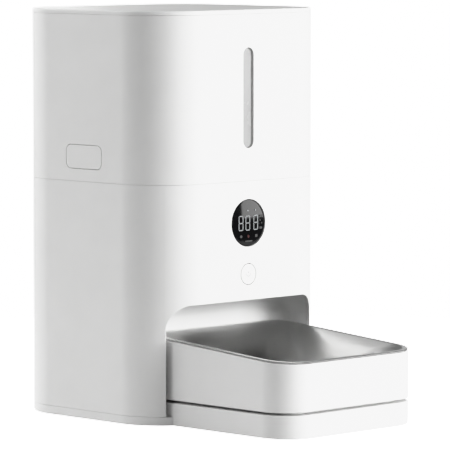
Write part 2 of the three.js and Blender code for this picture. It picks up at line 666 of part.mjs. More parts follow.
/** One ring of the bowl: the tray's outline moved in, its height a share of the way down from the rim. */
function bowlRing(inset, depth, drop) {
  const steps = 4;
  const half = TRAY_W / 2;
  const reach = [TRAY_FRONT_R, TRAY_FRONT_R, TRAY_BACK_R, TRAY_BACK_R];
  const [y0, y1] = [TRAY_FRONT_Y + inset, TRAY_BACK_Y - inset];
  const x = half - inset;
  const corners = [[-x, y0, 180], [x, y0, 270], [x, y1, 0], [-x, y1, 90]];
  return corners.flatMap(([cx, cy, start], k) => {
    const r = Math.max(reach[k] - inset, 6 + 12 * depth);
    const middle = [cx - Math.sign(cx) * r, cy + (k < 2 ? r : -r)];
    return Array.from({ length: steps + 1 }, (_, i) => {
      const a = THREE.MathUtils.degToRad(start + (90 * i) / steps);
      const [px, py] = [middle[0] + r * Math.cos(a), middle[1] + r * Math.sin(a)];
      return [px, py, rimAt(py) * (1 - depth) + BOWL_FLOOR * depth - drop];
    });
  });
}

function bowl() {
  const wall = [[5, 0.08], [9, 0.35], [15, 0.7], [24, 0.93], [34, 1]];
  return loft([
    ...[...wall].reverse().map(([inset, depth]) => bowlRing(inset + 0.2, depth, BOWL_T)),
    bowlRing(3, 0, BOWL_T),
    bowlRing(0, 0, BOWL_T),
    bowlRing(0, 0, 0),
    bowlRing(3.6, 0, 0),
    ...wall.map(([inset, depth]) => bowlRing(inset + 0.9, depth, 0)),
  ]);
}

place("tray", tray(), WHITE);
place("bowl", bowl(), STEEL);

export default feeder;
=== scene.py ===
"""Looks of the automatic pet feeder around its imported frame: +Z up, the bowl towards -Y.

Lengths are in millimetres, and become metres when a piece is made. The camera's and lights' are in metres.
"""
import json
import math

import bmesh
import bpy
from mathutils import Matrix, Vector
from mathutils.geometry import delaunay_2d_cdt


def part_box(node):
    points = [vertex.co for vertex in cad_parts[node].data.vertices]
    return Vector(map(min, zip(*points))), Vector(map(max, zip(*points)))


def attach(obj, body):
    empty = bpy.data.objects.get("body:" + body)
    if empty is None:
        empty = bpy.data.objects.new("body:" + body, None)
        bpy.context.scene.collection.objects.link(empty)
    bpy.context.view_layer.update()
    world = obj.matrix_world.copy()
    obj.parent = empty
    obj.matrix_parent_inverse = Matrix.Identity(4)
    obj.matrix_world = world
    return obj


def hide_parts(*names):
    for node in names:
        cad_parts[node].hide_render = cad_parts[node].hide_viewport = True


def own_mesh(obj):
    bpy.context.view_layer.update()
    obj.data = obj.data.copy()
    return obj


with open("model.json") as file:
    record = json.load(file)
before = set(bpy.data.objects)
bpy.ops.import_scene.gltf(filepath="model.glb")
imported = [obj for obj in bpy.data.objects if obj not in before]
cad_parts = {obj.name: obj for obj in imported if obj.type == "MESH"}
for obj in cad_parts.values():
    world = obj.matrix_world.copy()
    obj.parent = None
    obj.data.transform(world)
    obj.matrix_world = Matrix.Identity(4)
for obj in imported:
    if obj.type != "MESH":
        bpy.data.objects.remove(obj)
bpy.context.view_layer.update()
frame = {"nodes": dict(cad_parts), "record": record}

MM = 0.001
GAP = 0.3
SEAM = 0.14  # the hairline between two parts of the casing
SEAM_R = 0.12
SHARP = math.radians(35)  # edges that turn by more stay sharp
TOWER_R = 45.0  # the tower's upright corners
WALL = 2.5
SHELL_WALL = 2.4
SCREW_POST_R = 4.4
BOARD_POSTS = [(x, z) for x in (-22, 22) for z in (110, 176)]
BOARD_POST_REACH = 10.7  # how far behind the front face they end
INLET_HOLE = (6, 4.5)  # half its width and height
CHUTE_HOLE = ((-19, -10), (19, 8))  # two opposite corners
HOPPER_LEDGE = (316, 320)  # the bucket's flange hangs on it
NOTCH_HALF = 22  # the finger notch at the back of the hopper
NOTCH_DEPTH = 2
WINDOW_RIM = 3.5  # what the shell covers of the window all round
WINDOW_R = 5.7
FOOT_R = 8
SHANK_R = 1.25  # of every screw
TRAY_FRONT_R = 26.0
TRAY_BACK_R = 10.0
TRAY_PAD_H = 1.2
RIM_Z = 60.2  # the bowl's rim at the tray's front edge
RIM_SLOPE = 0.0745
OPEN_R = 19.0  # upper corners of the outlet opening
BAY_R = 14.0  # where the bay's back wall turns into its sides and ceiling
FUNNEL_TOP = 258.0
POCKET_TOP = 226.0
BUCKET_INSET = 6.0
OUTLET = (18, 46, 24)  # the metering hole: inner and outer radius, and half its angle
SIDE_BUTTON_H = 18.6
SIDE_BUTTON_R = 4.65
LEG_X = 87.2  # where a side button's leg goes through the deck
LENS_R = 18.7
DOME = 0.9
DIGIT_PLACES = (-8.3, -0.7, 8.3)
BUTTON_R = 8.2
POCKET_R = 52.0
BUCKET_T = 2.0
TRAY_WALL = 2.2
BOWL_T = 1.1
BOWL_FLOOR = 30.0
BOWL_CORNER_R = 60.0  # the dish's corners below its rim
# inset and share of the depth, from the rim down
BOWL_PROFILE = [(3.0, 0.0), (3.9, 0.008), (5, 0.02), (9, 0.07), (16, 0.18), (24, 0.36), (30, 0.54),
                (36, 0.75), (42, 0.91), (48, 0.98), (56, 1.0)]
CORNERS = ("front_left", "front_right", "rear_left", "rear_right")
AMBIENT = 0.04
BACKDROP = 2.6  # the light that shows as pure white
# light, and how light it shows
TONES = ((0.3, 0.3), (0.6, 0.6), (0.8, 0.755), (1.0, 0.85), (1.2, 0.9), (1.4, 0.922), (2.1, 0.935))
CAMERA_LENS = 303.2
CAMERA_PLACE = (-2.1340, -2.1376, 0.4081)
CAMERA_WAY = (-44.986, 4.812)  # azimuth and elevation
LIGHT_TARGET = Vector((0, 0, 0.16))
LIGHT_REACH = 2.5
LIGHT_SIZE = (1.6, 0.9)
# name, azimuth, elevation and power of the soft lights
LIGHTS = (("key", 40, 8, 79), ("key_near", 20, 8, 16), ("front_high", 10, 28, 28),
          ("side_high", -120, 28, 27), ("back_high", -160, 28, 43), ("back_low", 180, 8, 28))
# name, azimuth, elevation, width, height and power of the lights that only what shines reflects
CARDS = (("card_lens", 58, 4.5, 1.6, 0.66, 13), ("card_front", 0, 12, 0.9, 0.8, 13),
         ("card_side", 120, 12, 0.9, 0.8, 2), ("card_back", 150, 12, 0.9, 0.8, 7),
         ("card_back_high", 150, 40, 0.9, 0.8, 2))
FLOOR_R = 0.75
ARC_STEP = 3.0  # degrees between the points of an upright corner
FILLET_STEPS = 4


def extent(node):
    """Lowest and highest corner of a CAD node, in millimetres."""
    low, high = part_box(node)
    return low / MM, high / MM


# ---------------------------------------------------------------- making pieces
def object_from(bm, name):
    """Makes an object in metres of a closed bmesh in millimetres."""
    bmesh.ops.remove_doubles(bm, verts=bm.verts, dist=0.004)
    bmesh.ops.dissolve_degenerate(bm, edges=bm.edges, dist=0.0005)
    bmesh.ops.recalc_face_normals(bm, faces=bm.faces)
    bmesh.ops.scale(bm, verts=bm.verts, vec=(MM, MM, MM))
    mesh = bpy.data.meshes.new(name)
    bm.to_mesh(mesh)
    bm.free()
    made = bpy.data.objects.new(name, mesh)
    bpy.context.scene.collection.objects.link(made)
    return made


def combine(target, tools, operation):
    """Cuts objects out of another one, or joins them to it, and removes them."""
    for tool in tools:
        modifier = target.modifiers.new("cut", "BOOLEAN")
        modifier.operation = operation
        modifier.solver = "EXACT"
        modifier.object = tool
    graph = bpy.context.evaluated_depsgraph_get()
    result = bpy.data.meshes.new_from_object(target.evaluated_get(graph))
    target.modifiers.clear()
    target.data = result
    for tool in tools:
        bpy.data.objects.remove(tool)


def carve(target, *cutters):
    combine(target, [object_from(bm, "cutter") for bm in cutters], "DIFFERENCE")


def join(target, *parts):
    combine(target, [object_from(bm, "part") for bm in parts], "UNION")


def finish_piece(piece, body, slot, nodes=(), material=None):
    """Shades a piece and puts it on its body in place of CAD nodes."""
    mesh = piece.data
    mesh.materials.clear()
    mesh.materials.append(material or MATERIALS[slot])
    for polygon in mesh.polygons:
        polygon.use_smooth = True
    mesh.set_sharp_from_angle(angle=SHARP)
    modifier = piece.modifiers.new("normals", "WEIGHTED_NORMAL")
    modifier.mode = "FACE_AREA_WITH_ANGLE"
    modifier.weight = 70
    modifier.keep_sharp = True
    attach(piece, body)
    if nodes:
        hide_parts(*nodes)
    return piece


def piece(name, bm, body, slot, nodes=None, material=None, cuts=(), adds=()):
    """A finished piece of a bmesh, with others cut out of it and then others joined to it.

    It stands for the CAD node of its own name unless nodes says otherwise.
    """
    made = object_from(bm, name)
    if cuts:
        carve(made, *cuts)
    if adds:
        join(made, *adds)
    return finish_piece(made, body, slot, (name,) if nodes is None else nodes, material)


# ---------------------------------------------------------------- outlines and lofts
def arc(centre, radius, start, end, steps):
    """Points on a circle, angles in degrees."""
    angles = [math.radians(start + (end - start) * k / steps) for k in range(steps + 1)]
    return [(centre[0] + radius * math.cos(a), centre[1] + radius * math.sin(a)) for a in angles]


def circle(centre, radius, steps=64):
    return arc(centre, radius, 0, 360, steps)[:-1]


def rounded_rect(u0, u1, v0, v1, r, steps=8):
    """A closed outline, anticlockwise from its lower left corner."""
    corners = [(u0 + r, v0 + r, 180), (u1 - r, v0 + r, 270), (u1 - r, v1 - r, 0), (u0 + r, v1 - r, 90)]
    return [p for u, v, start in corners for p in arc((u, v), r, start, start + 90, steps)]


def grow(points, distances, closed=True):
    """Moves an anticlockwise outline's points out of it, all alike or each by its own distance."""
    count = len(points)
    if not isinstance(distances, list):
        distances = [distances] * count
    moved = []
    for i, (point, distance) in enumerate(zip(points, distances)):
        before = points[i - 1] if closed or i else point
        after = points[(i + 1) % count] if closed or i < count - 1 else point
        runs = [Vector(b) - Vector(a) for a, b in ((before, point), (point, after))]
        normals = [Vector((run.y, -run.x)).normalized() for run in runs if run.length > 1e-6]
        normal = sum(normals, Vector((0, 0))).normalized()
        reach = distance / max(0.3, normal.dot(normals[0]))
        moved.append((point[0] + normal.x * reach, point[1] + normal.y * reach))
    return moved


def strips(bm, rows, closed=True):
    """Quads between neighbouring lines of as many points."""
    count = len(rows[0])
    for first, second in zip(rows, rows[1:]):
        a, b = [bm.verts.new(p) for p in first], [bm.verts.new(p) for p in second]
        for i in range(count if closed else count - 1):
            j = (i + 1) % count
            bm.faces.new((a[i], a[j], b[j], b[i]))


def skin(rings, bm=None, shut=True):
    """A closed body through rings of as many points. With shut off, it closes on its first ring instead."""
    bm = bm or bmesh.new()
    strips(bm, rings if shut else rings + rings[:1])
    for ring in (rings[0], rings[-1]) if shut else ():
        bm.faces.new([bm.verts.new(p) for p in ring])
    return bm


PLACES = {
    "x": lambda u, v, w: (w, u, v),
    "y": lambda u, v, w: (u, w, v),
    "z": lambda u, v, w: (u, v, w),
}


def stack(axis, points, profile, bm=None):
    """Carries an outline along an axis. profile holds (inset, place along the axis) pairs."""
    place = PLACES[axis]
    return skin([[place(u, v, w) for u, v in grow(points, -inset)] for inset, w in profile], bm)


def fillet(k):
    """At step k of a quarter round: its reach along the surface and into it, as shares of the radius."""
    t = math.radians(90 * k / FILLET_STEPS)
    return 1 - math.sin(t), 1 - math.cos(t)


def rounded(w, r, inward, inset=0.0):
    """(inset, place) pairs round an edge at w, from the wall to the flat end. inward points into the body."""
    return [(inset + b * r, w + inward * a * r) for a, b in map(fillet, range(FILLET_STEPS + 1))]


def block_profile(w0, w1, r0, r1=None, inset=0.0):
    """The profile of a block with both ends' edges rounded."""
    return rounded(w0, r0, 1, inset)[::-1] + rounded(w1, r0 if r1 is None else r1, -1, inset)


def block(x0, x1, y0, y1, z0, z1, r=0.8, edge=0.3, bm=None):
    """A box with rounded edges, its upright corners rounded by r."""
    return stack("z", rounded_rect(x0, x1, y0, y1, r, 4), block_profile(z0, z1, edge), bm)


def post(x, y, r, z0, z1, edge=0.3, steps=40, bm=None):
    """An upright cylinder with rounded edges."""
    return stack("z", circle((x, y), r, steps), block_profile(z0, z1, edge), bm)


class Outline:
    """A rounded box seen from above, walked anticlockwise from the left end of its flat back."""

    def __init__(self, half, front, back, front_r, back_r, columns_every=ARC_STEP, flat_steps=1):
        self.half, self.front, self.back = half, front, back
        self.front_r, self.back_r = front_r, back_r
        self.arc_steps, self.flat_steps = math.ceil(90 / columns_every), flat_steps
        quarter = math.pi / 2
        left, right = -half + back_r, half - back_r
        runs = [
            ("arc", (left, back - back_r), back_r, quarter),
            ("line", (-half, back - back_r), (-half, front + front_r)),
            ("arc", (-half + front_r, front + front_r), front_r, 2 * quarter),
            ("line", (-half + front_r, front), (half - front_r, front)),
            ("arc", (half - front_r, front + front_r), front_r, 3 * quarter),
            ("line", (half, front + front_r), (half, back - back_r)),
            ("arc", (right, back - back_r), back_r, 0),
            ("line", (right, back), (left, back)),
        ]
        self.legs, reach = [], 0.0
        for run in runs:
            length = run[2] * quarter if run[0] == "arc" else math.dist(run[1], run[2])
            self.legs.append((reach, length, run))
            reach += length
        self.length = reach

    def at(self, u, depth=0.0, z=0.0):
        """The point at a distance along the outline, moved inward by depth."""
        start, _, run = next(leg for leg in self.legs if u <= leg[0] + leg[1] + 1e-4)
        along = u - start
        if run[0] == "arc":
            angle, reach = run[3] + along / run[2], run[2] - depth
            return Vector((run[1][0] + reach * math.cos(angle), run[1][1] + reach * math.sin(angle), z))
        a, b = Vector(run[1]), Vector(run[2])
        way = (b - a).normalized()
        spot = a + way * along + Vector((-way.y, way.x)) * depth
        return Vector((spot.x, spot.y, z))

    def columns(self):
        """Distances along the outline of its points: close together on corners, a few on flats."""
        places = []
        for start, length, run in self.legs:
            pieces = self.arc_steps if run[0] == "arc" else self.flat_steps
            places += [start + length * k / pieces for k in range(pieces)]
        return places

    def in_corner(self, u):
        return any(start - 1e-4 <= u <= start + length + 1e-4
                   for start, length, run in self.legs if run[0] == "arc")

    def along(self, side, value, depth=0.0):
        """The distance along the outline of a point on one side, given by its x, or its y on a flank."""
        flat = self.half - self.front_r
        if side == "left":
            return self.legs[1][0] + self.back - self.back_r - value
        if side == "right":
            return self.legs[5][0] + value - self.front - self.front_r
        if side == "back":
            return self.legs[7][0] + self.half - self.back_r - value
        if abs(value) <= flat:
            return self.legs[3][0] + value + flat
        turn = math.asin(min(1.0, (abs(value) - flat) / (self.front_r - depth)))
        return self.legs[4][0] + self.front_r * turn if value > 0 else self.legs[3][0] - self.front_r * turn

    def ring(self, depth, z):
        """A closed ring of points. z may be a function of y."""
        spots = [self.at(u, depth) for u in self.columns()]
        return [(p.x, p.y, z(p.y) if callable(z) else z) for p in spots]

    def solid(self, profile, bm=None, shut=True):
        return skin([self.ring(depth, z) for depth, z in profile], bm, shut)


# ---------------------------------------------------------------- hollow shells with openings
CUT_WAY = {"front": Vector((0, 1, 0)), "back": Vector((0, -1, 0)),
           "left": Vector((1, 0, 0)), "right": Vector((-1, 0, 0))}


class Opening:
    """A hole through a shell, or a notch in its rim, with a rounded lip.

    points are (x, z), or (y, z) on a flank, anticlockwise round the hole. A notch's points run from
    rim to rim, and its lip narrows there to the rim's own radius, end_lip, which is negative at the top.
    """

    def __init__(self, side, points, lip, end_lip=None):
        self.side, self.points, self.closed = side, points, end_lip is None
        self.lips = [lip] * len(points)
        if not self.closed:
            self.lips[0] = self.lips[-1] = abs(end_lip)
        self.wide = grow(points, self.lips, self.closed)
        if not self.closed:
            for i in (0, -1):
                self.wide[i] = (self.wide[i][0], points[i][1] + end_lip)

    def contour(self, outline, depth):
        """The opening on the unrolled wall, at its outer face or deeper."""
        points = self.points if depth else self.wide
        return [(outline.along(self.side, v, depth), z) for v, z in points]

    def lines(self, outline, wall):
        """Lines over the lip, from the outer face round to the inner one."""
        def on(points, depth):
            return [outline.at(outline.along(self.side, v, depth), depth, z) for v, z in points]

        outer, corner = on(self.wide, 0), on(self.points, 0)
        ways = [CUT_WAY[self.side] * lip for lip in self.lips]
        lines = [[c + (o - c) * a + way * b for o, c, way in zip(outer, corner, ways)]
                 for a, b in map(fillet, range(FILLET_STEPS + 1))]
        return lines + [on(self.points, wall)]


def inside(point, loop):
    """True if a point lies in a closed outline."""
    x, y = point
    found = False
    for (x0, y0), (x1, y1) in zip(loop, loop[1:] + loop[:1]):
        if (y0 > y) != (y1 > y) and x < x0 + (y - y0) / (y1 - y0) * (x1 - x0):
            found = not found
    return found


def uprights(outline, wall, openings):
    """Pairs of distances along the outer and inner face where a shell has upright edges.

    With each pair come the heights that its edges start at, or None for the rim.
    """
    spans, found = [], []
    for notch in (o for o in openings if not o.closed):
        outer, inner = notch.contour(outline, 0), notch.contour(outline, wall)
        places = [u for u, _ in outer + inner]
        spans.append((min(places) - 0.5, max(places) + 0.5))
        found += [(a[0], b[0], a[1], b[1]) for a, b in list(zip(outer, inner))[2:-2]
                  if outline.in_corner(a[0]) and outline.in_corner(b[0])]
    for u in outline.columns() + [outline.length]:
        if not any(low < u < high for low, high in spans):
            found.append((u, u, None, None))
    return sorted(found)


def face_of_shell(bm, outline, depth, low, high, openings, lines):
    """One face of a shell: the unrolled wall cut into triangles round its openings, and rolled up again."""
    points, edges = [], []

    def add(chain, closed=False):
        first, count = len(points), len(chain)
        points.extend(Vector(p) for p in chain)
        edges.extend((first + i, first + (i + 1) % count) for i in range(count if closed else count - 1))

    loops = [opening.contour(outline, depth) for opening in openings]
    for loop, opening in zip(loops, openings):
        add(loop, opening.closed)
    for u, start in lines:
        add([(u, low if start is None else start), (u, high)])
    add([(u, low) for u, start in lines if start is None])
    add([(u, high) for u, _ in lines])
    spots, _, faces, _, _, _ = delaunay_2d_cdt(points, edges, [], 0, 1e-4)
    made = [bm.verts.new(outline.at(p.x, depth, p.y)) for p in spots]
    for face in faces:
        middle = sum((spots[i] for i in face), Vector((0, 0))) / len(face)
        if not any(inside(middle, loop) for loop in loops):
            bm.faces.new([made[i] for i in face])


def rim(bm, outline, wall, z, r, inward, pairs, notch):
    """The rounded edge of a shell and its flat rim, left open where a notch runs through it."""
    groups = [[(outer, inner, None) for outer, inner in pairs]]
    if notch:
        lines = notch.lines(outline, wall)
        ends = [outline.along(notch.side, notch.wide[i][0]) for i in (0, -1)]
        before = [p for p in groups[0] if p[0] < min(ends)]
        after = [p for p in groups[0] if p[0] > max(ends)]
        groups = [before + [(None, None, -1)], [(None, None, 0)] + after]
    for group in groups:
        rows = []
        for k in range(FILLET_STEPS + 2):
            a, b = fillet(min(k, FILLET_STEPS))
            row = []
            for outer, inner, end in group:
                if end is not None:
                    row.append(lines[k][end])
                elif k > FILLET_STEPS:
                    row.append(outline.at(inner, wall, z))
                else:
                    row.append(outline.at(outer, b * r, z + inward * a * r))
            rows.append(row)
        strips(bm, rows, closed=False)


def shell(outline, wall, z0, z1, r0, r1, openings, bottom_notch=None, top_notch=None):
    """A hollow wall that follows an outline, with rounded rims and openings through it."""
    bm = bmesh.new()
    notches = [notch for notch in (bottom_notch, top_notch) if notch]
    lines = uprights(outline, wall, notches)
    cuts = openings + notches
    face_of_shell(bm, outline, 0, z0 + r0, z1 - r1, cuts, [(a, start) for a, _, start, _ in lines])
    face_of_shell(bm, outline, wall, z0, z1, cuts, [(b, start) for _, b, _, start in lines])
    for opening in cuts:
        strips(bm, opening.lines(outline, wall), opening.closed)
    low = [(a, b) for a, b, start, _ in lines if start is None]
    rim(bm, outline, wall, z0, r0, 1, low, bottom_notch)
    rim(bm, outline, wall, z1, r1, -1, [(a, b) for a, b, _, _ in lines], top_notch)
    return bm


# ---------------------------------------------------------------- materials
def noise(tree, scale, detail=2.0, stretch=(1, 1, 1)):
    """A noise texture in the object's own coordinates, in features per metre."""
    place = tree.nodes.new("ShaderNodeTexCoord")
    mapping = tree.nodes.new("ShaderNodeMapping")
    mapping.inputs["Scale"].default_value = stretch
    texture = tree.nodes.new("ShaderNodeTexNoise")
    texture.inputs["Scale"].default_value = scale
    texture.inputs["Detail"].default_value = detail
    tree.links.new(place.outputs["Object"], mapping.inputs["Vector"])
    tree.links.new(mapping.outputs["Vector"], texture.inputs["Vector"])
    return texture.outputs["Fac"]


def spread(tree, value, low, high):
    """Maps the middle half of a noise to a range."""
    scale = tree.nodes.new("ShaderNodeMapRange")
    for name, number in (("From Min", 0.3), ("From Max", 0.7), ("To Min", low), ("To Max", high)):
        scale.inputs[name].default_value = number
    tree.links.new(value, scale.inputs["Value"])
    return scale.outputs["Result"]


def material(name, colour, roughness, mottle=0.015, uneven=0.05, grain=0.12, grain_scale=2600,
             stretch=(1, 1, 1), **sockets):
    """A moulded, cast or brushed surface: mottled colour, uneven gloss and a fine grain in relief."""
    made = bpy.data.materials.new(name)
    made.use_nodes = True
    tree = made.node_tree
    shader = tree.nodes["Principled BSDF"]
    for socket, value in sockets.items():
        shader.inputs[socket.replace("_", " ")].default_value = value
    ramp = tree.nodes.new("ShaderNodeValToRGB")
    for stop, place, share in zip(ramp.color_ramp.elements, (0.3, 0.7), (1 - mottle, 1 + mottle)):
        stop.position = place
        stop.color = [min(1.0, c * share) for c in colour] + [1.0]
    tree.links.new(noise(tree, 35, 3), ramp.inputs["Fac"])
    tree.links.new(ramp.outputs["Color"], shader.inputs["Base Color"])
    gloss = spread(tree, noise(tree, 120, 3, stretch), max(0.02, roughness - uneven), roughness + uneven)
    tree.links.new(gloss, shader.inputs["Roughness"])
    relief = tree.nodes.new("ShaderNodeBump")
    relief.inputs["Strength"].default_value = grain
    relief.inputs["Distance"].default_value = 0.00003
    tree.links.new(noise(tree, grain_scale, 2, stretch), relief.inputs["Height"])
    tree.links.new(relief.outputs["Normal"], shader.inputs["Normal"])
    return made


def glowing(name, colour, strength):
    """A lit or printed mark under the display's lens."""
    made = material(name, colour, 0.5)
    shader = made.node_tree.nodes["Principled BSDF"]
    shader.inputs["Emission Color"].default_value = (*colour, 1)
    shader.inputs["Emission Strength"].default_value = strength
    return made


WHITE = (0.8, 0.8, 0.795)
MATERIALS = {
    "white_shell": material("white_shell", WHITE, 0.38, Specular_IOR_Level=0.4),
    "inner_plastic": material("inner_plastic", (0.78, 0.78, 0.77), 0.5, grain=0.25, grain_scale=1800),
    "clear_plastic": material("clear_plastic", (0.74, 0.76, 0.77), 0.22, Transmission_Weight=0.35, IOR=1.45),
    "display_black": material("display_black", (0.008, 0.008, 0.010), 0.22, mottle=0.2, grain=0.05),
    "foot_rubber": material("foot_rubber", (0.30, 0.31, 0.32), 0.8, mottle=0.06, grain=0.5, grain_scale=1400),
    "silicone": material("silicone", (0.66, 0.69, 0.69), 0.55, mottle=0.03, Subsurface_Weight=0.1),
    "bowl_steel": material("bowl_steel", (0.68, 0.68, 0.675), 0.32, mottle=0.01, uneven=0.012, grain=0.04,
                           grain_scale=1500, stretch=(1, 0.15, 1), Metallic=1.0),
    "machined_steel": material("machined_steel", (0.55, 0.55, 0.55), 0.32, mottle=0.06, grain=0.3,
                               stretch=(1, 1, 0.1), Metallic=1.0),
    "spring_steel": material("spring_steel", (0.6, 0.6, 0.6), 0.18, Metallic=1.0),
    "brass": material("brass", (0.70, 0.55, 0.28), 0.3, mottle=0.06, Metallic=1.0),
    "circuit_board": material("circuit_board", (0.03, 0.16, 0.08), 0.4, mottle=0.15),
    "gear_plastic": material("gear_plastic", (0.83, 0.82, 0.77), 0.42, mottle=0.02),
}
LENS_BLACK = material("lens_black", (0.003, 0.003, 0.0035), 0.06, mottle=0.2, uneven=0.015, grain=0.0)
DIGIT_GLOW = glowing("digit_white", (0.22, 0.23, 0.235), 0.45)
DIM_GLOW = glowing("icon_grey", (0.04, 0.04, 0.04), 0.4)
RED_GLOW = glowing("icon_red", (0.04, 0.006, 0.006), 0.4)
WINDOW_GREY = material("window_grey", (0.3, 0.3, 0.3), 0.25, mottle=0.01)
DIM_PRINT = material("grey_print", (0.5, 0.5, 0.5), 0.5)

# ---------------------------------------------------------------- places taken from the frame
HOUSING_LOW, HOUSING_HIGH = extent("lower_housing")
SHELL_LOW, SHELL_HIGH = extent("hopper_shell")
HALF, FRONT, BACK = HOUSING_HIGH.x, HOUSING_LOW.y, HOUSING_HIGH.y
AXIS_Y = (FRONT + BACK) / 2
TRAY_LOW, TRAY_HIGH = extent("tray")
BAY_LOW, BAY_HIGH = extent("outlet_bay")
BAY_T = 2.0
OPEN_HALF, OPEN_TOP = BAY_HIGH.x - BAY_T, BAY_HIGH.z - BAY_T
BAY_BACK = BAY_HIGH.y - BAY_T
HOUSING_Z = HOUSING_LOW.z - SEAM  # top of the base's skirt
TOWER = Outline(HALF, FRONT, BACK, TOWER_R, TOWER_R)
BUCKET = Outline(HALF, FRONT, BACK, TOWER_R, TOWER_R, 5.0, 12)
TRAY = Outline(TRAY_HIGH.x, TRAY_LOW.y, TRAY_HIGH.y, TRAY_FRONT_R, TRAY_BACK_R)


def middle(node):
    low, high = extent(node)
    return (low + high) / 2


def rim_height(y):
    """The bowl's rim rises towards the tower."""
    return RIM_Z + RIM_SLOPE * (y - TRAY.front)


# ---------------------------------------------------------------- casing
def arch_points(half, low, top, r):
    """The outlet opening, from its right foot over to its left one, with points at the wall's columns."""
    flat = HALF - TOWER_R
    columns = [flat + TOWER_R * math.sin(math.radians(ARC_STEP * k)) for k in range(4)]
    right = [(half, low), (half, low + 3)] + arc((half - r, top - r), r, 0, 90, 12)
    right += [(x, top) for x in reversed(columns)]
    return right + [(-x, z) for x, z in reversed(right)]


def capsule(x, z0, z1, r):
    return arc((x, z0 + r), r, 180, 360, 18) + arc((x, z1 - r), r, 0, 180, 18)


def side_button_outline(side, play):
    low, high = extent(f"side_button_{side}")
    half = (high.y - low.y) / 2 + play
    top, bottom = high.z + play, high.z - SIDE_BUTTON_H - play
    return rounded_rect(AXIS_Y - half, AXIS_Y + half, bottom, top, SIDE_BUTTON_R + play, 8)


def lower_housing():
    lens, button, inlet = middle("display_lens"), middle("front_button"), middle("power_inlet")
    half_x, half_z = INLET_HOLE
    socket = rounded_rect(inlet.x - half_x, inlet.x + half_x, inlet.z - half_z, inlet.z + half_z, 1.5, 5)
    openings = [
        Opening("front", circle((0, lens.z), LENS_R + 0.25, 96), 0.3),
        Opening("front", circle((0, button.z), BUTTON_R + 0.45, 64), 0.35),
        Opening("back", socket, 0.4),
    ]
    low, high = HOUSING_Z + SEAM, SHELL_LOW.z - GAP
    arch = Opening("front", arch_points(OPEN_HALF, low, OPEN_TOP, OPEN_R), 0.9, SEAM_R)
    bm = shell(TOWER, WALL, low, high, SEAM_R, SEAM_R, openings, bottom_notch=arch)
    for x, z in BOARD_POSTS:
        stack("y", circle((x, z), 2.5, 24), [(0, FRONT + WALL - 0.1), (0, FRONT + BOARD_POST_REACH)], bm)
    for node, bottom, top in (("base_screw", 8.4, 52.0), ("deck_screw", 150.0, HOUSING_HIGH.z - 3.3)):
        for corner in CORNERS:
            spot = middle(f"{node}_{corner}")
            post(spot.x, spot.y, SCREW_POST_R, bottom, top, 0.4, 32, bm)
            rib(bm, spot, bottom + 12, top)
    piece("lower_housing", bm, "root", "white_shell")


def rib(bm, spot, z0, z1):
    """A web between a screw post and the nearest wall."""
    half, start, end = 1, 4, 2
    if BACK - spot.y < HALF - abs(spot.x):
        block(spot.x - half, spot.x + half, spot.y + start, BACK - end, z0, z1, 0.2, 0.2, bm)
    else:
        out = math.copysign(1, spot.x)
        near, far = sorted((spot.x + start * out, out * (HALF - end)))
        block(near, far, spot.y - half, spot.y + half, z0, z1, 0.2, 0.2, bm)


def hopper_shell():
    low, high = extent("window_lens")
    openings = [Opening("front", capsule(0, low.z + WINDOW_RIM, high.z - WINDOW_RIM, WINDOW_R), 0.5)]
    openings += [Opening(side, side_button_outline(side, 0.35), 0.3) for side in ("left", "right")]
    top = SHELL_HIGH.z + GAP - SEAM
    half, deep = NOTCH_HALF, NOTCH_DEPTH
    notch = [(-half, top), (-half, top - deep)] + arc((-half + 2, top - deep), 2, 180, 270, 4)[1:] \
        + arc((half - 2, top - deep), 2, 270, 360, 4)[:-1] + [(half, top - deep), (half, top)]
    finger = Opening("back", notch, 0.4, -SEAM_R)
    low = SHELL_LOW.z - GAP + SEAM
    bm = shell(TOWER, SHELL_WALL, low, top, SEAM_R, SEAM_R, openings, top_notch=finger)
    ledge_low, ledge_top = HOPPER_LEDGE
    inner, outer = SHELL_WALL + 3, SHELL_WALL - 0.1
    ledge = [(outer, ledge_low), (inner, ledge_low), (inner, ledge_top), (outer, ledge_top)]
    TOWER.solid(ledge, bm, shut=False)
    piece("hopper_shell", bm, "hopper", "white_shell")


def lid():
    low, high = extent("lid")
    plate = SHELL_HIGH.z + GAP
    profile = rounded(high.z, 1.1, -1)[::-1] + rounded(plate, SEAM_R, 1)
    skirt = [(10, plate), (10, low.z + 0.5), (10.5, low.z), (11.5, low.z), (12, low.z + 0.5), (12, plate)]
    piece("lid", TOWER.solid(profile + skirt), "lid", "white_shell")


def platform_outline(inset, rear, rear_r):
    """The platform under the tray, moved in."""
    return Outline(TRAY.half - inset, TRAY.front + inset, rear, TRAY_FRONT_R - inset, rear_r)


